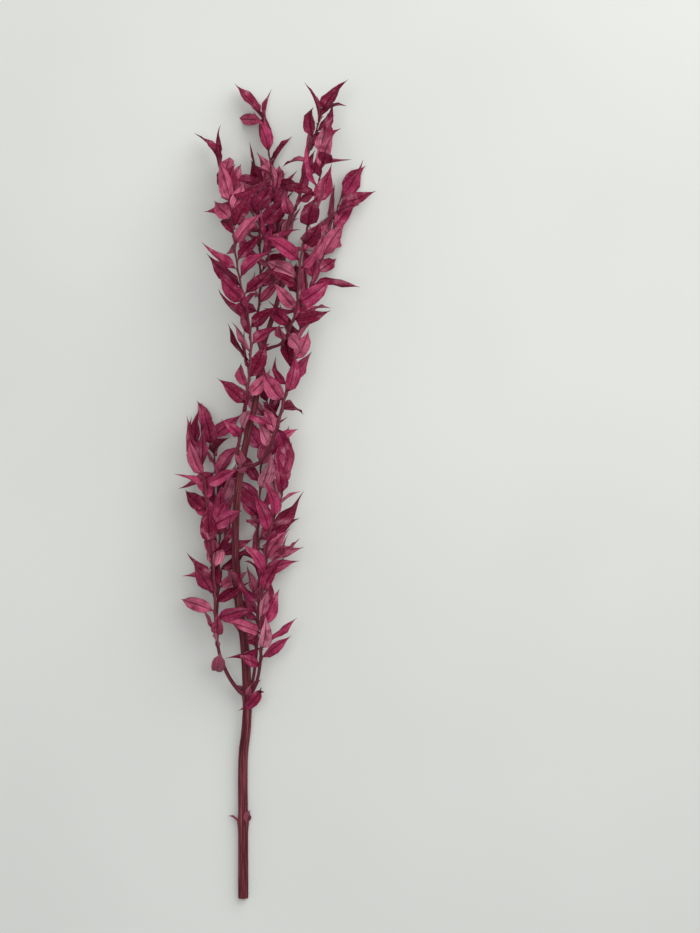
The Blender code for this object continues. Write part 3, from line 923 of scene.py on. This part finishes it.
def leaf_shape(name, form, wave_start, rows=LEAF_ROWS, columns=LEAF_COLUMNS):
    """A closed leaf one unit long, with its own UV map: across it and along it."""
    shape = bmesh.new()
    chart = shape.loops.layers.uv.new("blade")
    middle = columns.index(0.0)
    tip_row = len(rows) - 1
    tip = shape.verts.new(fine_point(form, wave_start, 1.0, 0.0))
    for side in (1, -1):
        corners = [
            [shape.verts.new(leaf_skin_point(form, wave_start, along, across, side)) for across in columns]
            for along in rows[:-1]
        ]
        corners.append([tip] * len(columns))
        for row in range(tip_row):
            for column in range(len(columns) - 1):
                steps = [(row, column), (row, column + 1), (row + 1, column + 1), (row + 1, column)]
                if row + 1 == tip_row:
                    steps.remove((row + 1, column + 1))
                steps = steps[::side]
                face = shape.faces.new([corners[r][c] for r, c in steps])
                face.smooth = True
                for loop, (r, c) in zip(face.loops, steps):
                    loop[chart].uv = (0.5 if r == tip_row else 0.5 + 0.5 * columns[c], rows[r])
            shape.edges.get((corners[row][middle], corners[row + 1][middle])).smooth = False
    bmesh.ops.remove_doubles(shape, verts=shape.verts, dist=SAME_POINT)
    for edge in shape.edges:
        if edge.calc_face_angle(0.0) > math.radians(SHARP_EDGE):
            edge.smooth = False
    return bpy.data.objects.new(name, new_mesh(name, shape))


def leaf_shapes(name, forms, variants, rows=LEAF_ROWS, columns=LEAF_COLUMNS):
    """A collection with each form in several variants of its waved edge."""
    group = bpy.data.collections.new(name)
    for number in range(len(forms) * variants):
        form = forms[number // variants]
        shape = leaf_shape(f"{name}_{number:02d}", form, number * WAVE_SHIFT, rows, columns)
        group.objects.link(shape)
    return group


def leaf_growths(leaves, rng):
    """The leaves of a spray, each with a shade and one of the variants of its form."""
    growths = []
    for place, leaf in leaves:
        form = LEAF_FORMS.index(leaf.form) * LEAF_VARIANTS + rng.randrange(LEAF_VARIANTS)
        growths.append(Growth(leaf.matrix, form, rng.random()))
    return growths


def stood_off(point, way, outwards, lean, length):
    """The matrix of a scale at a point of a stem, that leans off it by degrees and has its back to it."""
    lean = math.radians(lean)
    ahead = way * math.cos(lean) + outwards * math.sin(lean)
    return stood(point, ahead, outwards * math.cos(lean) - way * math.sin(lean), length)


def scale_growths(radius, leaves, rng):
    """A small dry scale under the foot of each leaf, on twigs with this radius at their foot."""
    growths = []
    for place, leaf in leaves:
        ahead = leaf.matrix.col[1].to_3d().normalized()
        outwards = (ahead - place.way * ahead.dot(place.way)).normalized()
        here = radius - (radius - TWIG_TIP_RADIUS) * place.share**TWIG_TAPER
        foot = place.point + outwards * here * SCALE_DEPTH - place.way * SCALE_BACK
        length = SCALE_LENGTH * rng.uniform(*SCALE_LENGTHS)
        growths.append(Growth(stood_off(foot, place.way, outwards, SCALE_LEAN, length), 0, rng.random()))
    return growths


def clasp_growths(rng):
    """The clasping scales round each joint of the cane."""
    # Points a millimetre apart, so that a joint's place is the number of its point
    points = even_points(CANE_ROUTE, 1.0)
    ways = tangents(points)
    radii = cane_radii(points)
    growths = []
    for joint in CANE_JOINTS:
        way = ways[joint]
        right, up = right_and_up(way)
        start = rng.uniform(0, 2 * math.pi)
        for form in range(CLASPS):
            turn = start + 2 * math.pi * (form + rng.uniform(-CLASP_STRAY, CLASP_STRAY)) / CLASPS
            outwards = right * math.cos(turn) + up * math.sin(turn)
            foot = points[joint] + outwards * radii[joint] * CLASP_DEPTH
            grown = 0.5 + 0.5 * radii[joint] / CANE_FOOT_RADIUS
            length = CLASP_LENGTH * rng.uniform(*CLASP_LENGTHS) * grown
            lean = CLASP_LEAN * rng.uniform(*CLASP_LEANS)
            growths.append(Growth(stood_off(foot, way, outwards, lean, length), form, rng.random()))
    return growths


def hand_placed(rows, rng):
    """Growths from rows of foot, tip, turn of the face and form."""
    growths = []
    for foot, tip, turn, form in rows:
        reach = Vector(tip) - Vector(foot)
        ahead = reach.normalized()
        face = Matrix.Rotation(math.radians(turn), 3, ahead) @ right_and_up(ahead)[1]
        growths.append(Growth(stood(foot, ahead, face, reach.length), form, rng.uniform(*PLACED_SHADES)))
    return growths


def twig_line(twig):
    """A twig's points and radii: thick at the foot, thin at the end, bent and swollen at each leaf."""
    points = even_points(twig.route, TWIG_RELIEF.ring_step)
    ways = tangents(points)
    walked = distances(points)
    leafy = walked[-1] - twig.bare
    step = leafy / max(2, round(leafy / LEAF_STEP))
    radii = []
    for k, reached in enumerate(walked):
        share = reached / walked[-1]
        taper = twig.foot_radius - (twig.foot_radius - TWIG_TIP_RADIUS) * share**TWIG_TAPER
        foot = TWIG_FOOT_SWELL * math.exp(-((reached / TWIG_FOOT_LENGTH) ** 2))
        end = TWIG_END_LOSS * eased((share - 1 + TWIG_END) / TWIG_END)
        radii.append(taper * (1 + foot) * (1 - end))
        if reached > twig.bare - step / 2:
            from_node = (reached - twig.bare + step / 2) % step - step / 2
            number = round((reached - twig.bare) / step)
            radii[k] *= 1 + NODE_SWELL * math.exp(-((from_node / NODE_LENGTH) ** 2))
            bend = ZIGZAG * (1 - 2 * abs(from_node) / step) * (1 if number % 2 else -1)
            points[k] = points[k] + right_and_up(ways[k])[0] * bend
    return points, radii


def cane_line():
    """The cane's points and radii, with a thin raised ring at each joint."""
    points = even_points(CANE_ROUTE, CANE_RELIEF.ring_step)
    radii = cane_radii(points)
    for k, reached in enumerate(distances(points)):
        rings = sum(math.exp(-(((reached - joint) / RING_LENGTH) ** 2)) for joint in CANE_JOINTS)
        radii[k] += RING_HEIGHT * rings
    return points, radii


def new_material(name):
    """A material with an empty tree but for its Principled shader and output."""
    material = bpy.data.materials.new(name)
    material.use_nodes = True
    return material, material.node_tree, material.node_tree.nodes["Principled BSDF"]


def ramp(tree, value, stops):
    """Colours by a value from 0 to 1."""
    made = node(tree, "ShaderNodeValToRGB", {"Fac": value})
    made.color_ramp.elements.remove(made.color_ramp.elements[1])
    for number, (position, colour) in enumerate(stops):
        stop = made.color_ramp.elements[0] if number == 0 else made.color_ramp.elements.new(position)
        stop.position = position
        stop.color = (*colour, 1.0)
    return made.outputs[0]


def mixed(tree, share, first, second, blend="MIX"):
    """A mix of two colours, each an output or three numbers."""
    sockets = {MIX_SHARE: share}
    for key, colour in ((MIX_FIRST, first), (MIX_SECOND, second)):
        sockets[key] = colour if isinstance(colour, bpy.types.NodeSocket) else (*colour, 1.0)
    return node(tree, "ShaderNodeMix", sockets, data_type="RGBA", blend_type=blend).outputs[MIX_RESULT]


def ranged(tree, value, low, high, to_low=0.0, to_high=1.0):
    """A value between low and high, spread over another range."""
    return node(tree, "ShaderNodeMapRange", {
        "Value": value, "From Min": low, "From Max": high, "To Min": to_low, "To Max": to_high,
    }, interpolation_type="SMOOTHSTEP").outputs[0]


def laid_over(tree, under, pattern, start, full, cover, colour):
    """A colour with a layer of another over it, where a pattern says."""
    return mixed(tree, ranged(tree, pattern, start, full, 0.0, cover), under, colour)


def noise(tree, vector, scale, detail, roughness):
    """A grey pattern, as fine in each direction."""
    return node(tree, "ShaderNodeTexNoise", {
        "Vector": vector, "Scale": scale, "Detail": detail, "Roughness": roughness,
    }).outputs[0]


def stretched_noise(tree, vector, scales, detail, roughness):
    """A grey pattern with its own fineness in each direction."""
    stretched = node(tree, "ShaderNodeMapping", {"Vector": vector, "Scale": scales}).outputs[0]
    return noise(tree, stretched, 1.0, detail, roughness)


def blade_inputs(tree):
    """What colours a blade: its own UV map, where it is, and its shade."""
    chart = node(tree, "ShaderNodeUVMap", uv_map="blade").outputs[0]
    where = node(tree, "ShaderNodeTexCoord").outputs["Object"]
    shade = node(tree, "ShaderNodeAttribute", attribute_name="shade").outputs["Fac"]
    return chart, where, shade


def finished(tree, shader, colour, dots, height, finish):
    """Gives a shader its colour, its gloss and its relief, and hands the relief back."""
    relief = {"Height": height, "Strength": finish.relief, "Distance": finish.depth}
    bump = node(tree, "ShaderNodeBump", relief).outputs[0]
    roughness = ranged(tree, dots, *DOTS_RANGE, finish.smooth, finish.rough)
    tree.links.new(colour, shader.inputs["Base Color"])
    tree.links.new(roughness, shader.inputs["Roughness"])
    tree.links.new(bump, shader.inputs["Normal"])
    shader.inputs["Specular IOR Level"].default_value = finish.gloss
    return bump


def leaf_material():
    """Dyed dried leaf: burgundy that varies from leaf to leaf, with veins, a dark rib, foot and tip, and
    pale pink patches that are partly painted highlight.
    """
    material, tree, shader = new_material("dyed_leaf")
    chart, where, shade = blade_inputs(tree)
    blade = parts(tree, chart)
    from_rib = math_node(tree, "ABSOLUTE", math_node(tree, "SUBTRACT", blade["X"], 0.5))
    # Blotches: the dark ones are real mottling, the pink ones partly pale scars and partly painted highlight
    blotches_and_highlights = noise(tree, where, *LEAF_BLOTCHES)
    dots = noise(tree, where, *LEAF_DOTS)
    # Streaks: real veins and lines, and on the leaf also pale streaks that are partly painted highlight
    streaks_and_painted_light = stretched_noise(tree, chart, *LEAF_STREAKS)

    straight = math_node(tree, "MULTIPLY", blade["X"], VEINS * math.tau)
    wave = math_node(tree, "SINE", math_node(tree, "MULTIPLY_ADD", streaks_and_painted_light, VEIN_BEND, straight))
    half = math_node(tree, "MULTIPLY", ranged(tree, wave, *VEIN_WAVE), 0.5)
    veins = math_node(tree, "MULTIPLY_ADD", ranged(tree, streaks_and_painted_light, *VEIN_STREAKS), 0.5, half)

    colour = ramp(tree, shade, LEAF_SHADES)
    colour = laid_over(tree, colour, blotches_and_highlights, *DARK_BLOTCHES)
    # Pink patches, partly real pale scars and partly painted highlight
    colour = laid_over(tree, colour, blotches_and_highlights, *PINK_BLOTCHES_AND_HIGHLIGHTS)
    colour = mixed(tree, math_node(tree, "MULTIPLY", veins, VEIN_COVER), colour, LEAF_VEIN)
    # Pale pink streaks, partly real pale lines and partly painted highlight
    colour = laid_over(tree, colour, streaks_and_painted_light, *PINK_STREAKS_AND_HIGHLIGHTS)
    colour = laid_over(tree, colour, dots, *PINK_DOTS)
    colour = laid_over(tree, colour, from_rib, *DARK_RIB)
    colour = laid_over(tree, colour, from_rib, *DARK_EDGE)
    colour = laid_over(tree, colour, blade["Y"], *DARK_FOOT)
    colour = laid_over(tree, colour, blade["Y"], *DARK_TIP)
    height = math_node(tree, "MULTIPLY_ADD", dots, LEAF_DOT_HEIGHT, veins)
    bump = finished(tree, shader, colour, dots, height, LEAF_FINISH)

    glow = mixed(tree, 1.0, colour, LEAF_GLOW, "MULTIPLY")
    through = node(tree, "ShaderNodeBsdfTranslucent", {"Color": glow, "Normal": bump}).outputs[0]
    both = node(tree, "ShaderNodeMixShader", {0: LEAF_THROUGH, 1: shader.outputs[0], 2: through}).outputs[0]
    tree.links.new(both, tree.nodes["Material Output"].inputs["Surface"])
    return material


def scale_material():
    """Dry papery scale, paler and browner than the leaves, with fine lengthwise fibres."""
    material, tree, shader = new_material("dry_scale")
    chart, where, shade = blade_inputs(tree)
    fibres = stretched_noise(tree, chart, *SCALE_FIBRES)
    dots = noise(tree, where, *SCALE_DOTS)
    colour = ramp(tree, fibres, SCALE_SHADES)
    colour = mixed(tree, math_node(tree, "MULTIPLY", shade, SCALE_EVENED), colour, SCALE_MIDDLE)
    finished(tree, shader, colour, dots, fibres, SCALE_FINISH)
    return material


def cut_colour(tree, where):
    """The cut end's colours round the cane's axis: pale pith with fibres, in a ring of darker wood."""
    foot = in_part_frame(Vector(CANE_ROUTE[0]))
    centred = node(tree, "ShaderNodeMapping", {"Vector": where, "Location": -foot}).outputs[0]
    flat = node(tree, "ShaderNodeVectorMath", {0: centred, 1: (1.0, 0.0, 1.0)}, operation="MULTIPLY")
    from_axis = node(tree, "ShaderNodeVectorMath", {0: flat.outputs[0]}, operation="LENGTH")
    pith = laid_over(tree, CUT_PITH, noise(tree, where, *CUT_FIBRES), *WOODY_FIBRES)
    start, full = (share * CANE_FOOT_RADIUS * MM for share in WOOD_RING)
    return laid_over(tree, pith, from_axis.outputs["Value"], start, full, 1.0, CUT_WOOD)


def bark_material(name, colours, cut_end=False):
    """Dried dyed bark with fine lines along it and broad pale and dark bands of painted shading, and with
    cut_end set a bare end where it was cut.
    """
    material, tree, shader = new_material(name)
    round_way = node(tree, "ShaderNodeAttribute", attribute_name="round").outputs["Vector"]
    along = node(tree, "ShaderNodeAttribute", attribute_name="along").outputs["Fac"]
    flat = parts(tree, round_way)
    way = node(tree, "ShaderNodeCombineXYZ", {"X": flat["X"], "Y": flat["Y"], "Z": along}).outputs[0]
    where = node(tree, "ShaderNodeTexCoord").outputs["Object"]
    streaks_and_painted_light = stretched_noise(tree, way, *BARK_STREAKS_AND_SHADING)
    patches = stretched_noise(tree, way, *BARK_PATCHES)
    dots = noise(tree, where, *BARK_DOTS)
    # Bark colours by streaks: fine real lines, and broad pale and dark bands that are painted shading
    colour = ramp(tree, streaks_and_painted_light, zip(BARK_STREAK_AND_SHADING_STOPS, colours))
    colour = laid_over(tree, colour, patches, *BARK_DARK_PATCHES, colours[0])
    colour = laid_over(tree, colour, dots, *BARK_PALE_DOTS, colours[-1])
    if cut_end:
        start, full = (reach * MM for reach in CUT_EDGE)
        colour = laid_over(tree, colour, along, start, full, 1.0, cut_colour(tree, where))
    height = math_node(tree, "MULTIPLY_ADD", dots, BARK_DOT_HEIGHT, streaks_and_painted_light)
    finished(tree, shader, colour, dots, height, BARK_FINISH)
    return material


def floor_material():
    """A plain pale surface with faint darker patches of painted shade, for uneven light."""
    material, tree, shader = new_material("floor")
    where = node(tree, "ShaderNodeTexCoord").outputs["Object"]
    painted_shade = noise(tree, where, *FLOOR_SHADE_PATTERN)
    # Darker clouds of painted shade over the pale floor
    tree.links.new(laid_over(tree, FLOOR_COLOUR, painted_shade, *PAINTED_SHADE_CLOUDS), shader.inputs["Base Color"])
    shader.inputs["Roughness"].default_value = FLOOR_ROUGHNESS
    shader.inputs["Specular IOR Level"].default_value = FLOOR_GLOSS
    return material


def make_floor():
    """The surface that the stem lies on."""
    sheet = bmesh.new()
    bmesh.ops.create_grid(sheet, x_segments=1, y_segments=1, size=FLOOR_SIDE / 2)
    floor = new_object("floor", new_mesh("floor", sheet))
    floor.data.materials.append(floor_material())


def soft_light(name, place, target, side, power):
    """A square light that faces its target."""
    light = bpy.data.lights.new(name, "AREA")
    light.shape = "SQUARE"
    light.size = side
    light.energy = power
    lamp = new_object(name, light)
    lamp.location = place
    lamp.rotation_euler = (Vector(target) - Vector(place)).to_track_quat("-Z", "Y").to_euler()


def make_lights():
    """Two soft lights under an even sky."""
    soft_light("key", *KEY_LIGHT)
    soft_light("fill", *FILL_LIGHT)
    world = bpy.data.worlds.new("studio")
    world.use_nodes = True
    sky = world.node_tree.nodes["Background"]
    sky.inputs["Color"].default_value = (*SKY_COLOUR, 1.0)
    sky.inputs["Strength"].default_value = SKY_STRENGTH
    bpy.context.scene.world = world


def make_camera():
    """Looks straight down on the stem, with its tip towards the top of the frame."""
    lens = bpy.data.cameras.new("camera")
    lens.lens = LENS
    lens.sensor_width = SENSOR
    camera = new_object("camera", lens)
    height = PIXEL_HEIGHT + PIXEL_SIZE * FRAME_HEIGHT * LENS / SENSOR
    camera.location = in_part_frame(Vector((AXIS_X, AXIS_Y, height)))
    bpy.context.scene.camera = camera


def trim_cut_end(mesh):
    """Sinks the wood of the cut end a little inside a standing rim of bark."""
    shape = bmesh.new()
    shape.from_mesh(mesh)
    # Only the two caps have many corners, and the cut end's is the lower one.
    cap = min(shape.faces, key=lambda face: face.calc_center_median().y - len(face.verts))
    bmesh.ops.inset_individual(shape, faces=[cap], thickness=RIM_WIDTH * MM, depth=-RIM_HEIGHT * MM)
    shape.to_mesh(mesh)
    shape.free()


def belongs(piece, slot, *nodes):
    """A piece rides on the one body and stands for nodes of the solid model."""
    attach(piece, "root")
    if nodes:
        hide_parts(*nodes)


def make_stem(name, lines, tree, relief, bark):
    """A piece of ridged stems along lines."""
    return grown_piece(name, lines_mesh(name, lines), tree, {
        "Sides": relief.sides, "Ridges": relief.ridges, "Ridge Height": RIDGE_HEIGHT,
        "Lumps": relief.lumps * MM, "Lump Size": relief.lump_size, "Material": bark,
    })


def make_cane(tree):
    """The cane, with its ridges, its joints and its cut end."""
    bark = bark_material("cane_bark", CANE_COLOURS, cut_end=True)
    cane = make_stem("ridged_cane", [cane_line()], tree, CANE_RELIEF, bark)
    trim_cut_end(cane.data)
    cane.data.set_sharp_from_angle(angle=math.radians(CANE_SHARP_EDGE))
    belongs(cane, "cane", "cane")


def make_grown(name, growths, tree, shapes, material):
    """A piece of shapes that stand on points."""
    return grown_piece(name, points_mesh(name, growths), tree, {
        "Shapes": shapes, "Floor": BLADE_THICKNESS / 2 * MM, "Press Height": PRESS_HEIGHT * MM,
        "Crumple": CRUMPLE * MM, "Crumple Size": CRUMPLE_SIZE, "Material": material,
    })


def make_sprays(stem_tree, growth):
    """Every twig with its leaves and scales, then the scales at the joints and the shrivelled leaves."""
    bark = bark_material("twig_bark", TWIG_COLOURS)
    skin = leaf_material()
    papery = scale_material()
    leaf_forms = leaf_shapes("leaf_form", LEAF_FORMS, LEAF_VARIANTS)
    scale_forms = leaf_shapes("scale_form", [SCALE_FORM], 1, SCALE_ROWS, SCALE_COLUMNS)
    clasp_forms = leaf_shapes("clasp_form", CLASP_FORMS, 1)
    shrivelled_forms = leaf_shapes("shrivelled_form", SHRIVELLED_FORMS, 1)
    shades = random.Random(SHADE_SEED)
    tubes = twig_trees()
    blades = []
    for spray, twigs in SPRAYS.items():
        name = spray.removeprefix("spray_")
        leaves = grow_leaves(spray, twigs, tubes, blades)
        twig = make_stem("twig_" + name, map(twig_line, twigs), stem_tree, TWIG_RELIEF, bark)
        belongs(twig, "cane", spray)
        leafy = make_grown("leaves_" + name, leaf_growths(leaves, shades), growth, leaf_forms, skin)
        belongs(leafy, "leaf", spray)
        scales = scale_growths(twigs[0].foot_radius, leaves, shades)
        belongs(make_grown("scales_" + name, scales, growth, scale_forms, papery), "cane", spray)
    clasps = clasp_growths(shades) + hand_placed(LOOSE_SCALES, shades)
    belongs(make_grown("joint_scales", clasps, growth, clasp_forms, papery), "cane")
    shrivelled = hand_placed(SHRIVELLED, shades)
    belongs(make_grown("shrivelled_leaves", shrivelled, growth, shrivelled_forms, skin), "leaf")
    for shapes in (leaf_forms, scale_forms, clasp_forms, shrivelled_forms):
        for shape in list(shapes.objects):
            bpy.data.objects.remove(shape)
        bpy.data.collections.remove(shapes)


bpy.context.scene.view_settings.view_transform = "Standard"
make_camera()
make_lights()
make_floor()
stems = ridged_stem_tree()
make_cane(stems)
make_sprays(stems, growth_tree())
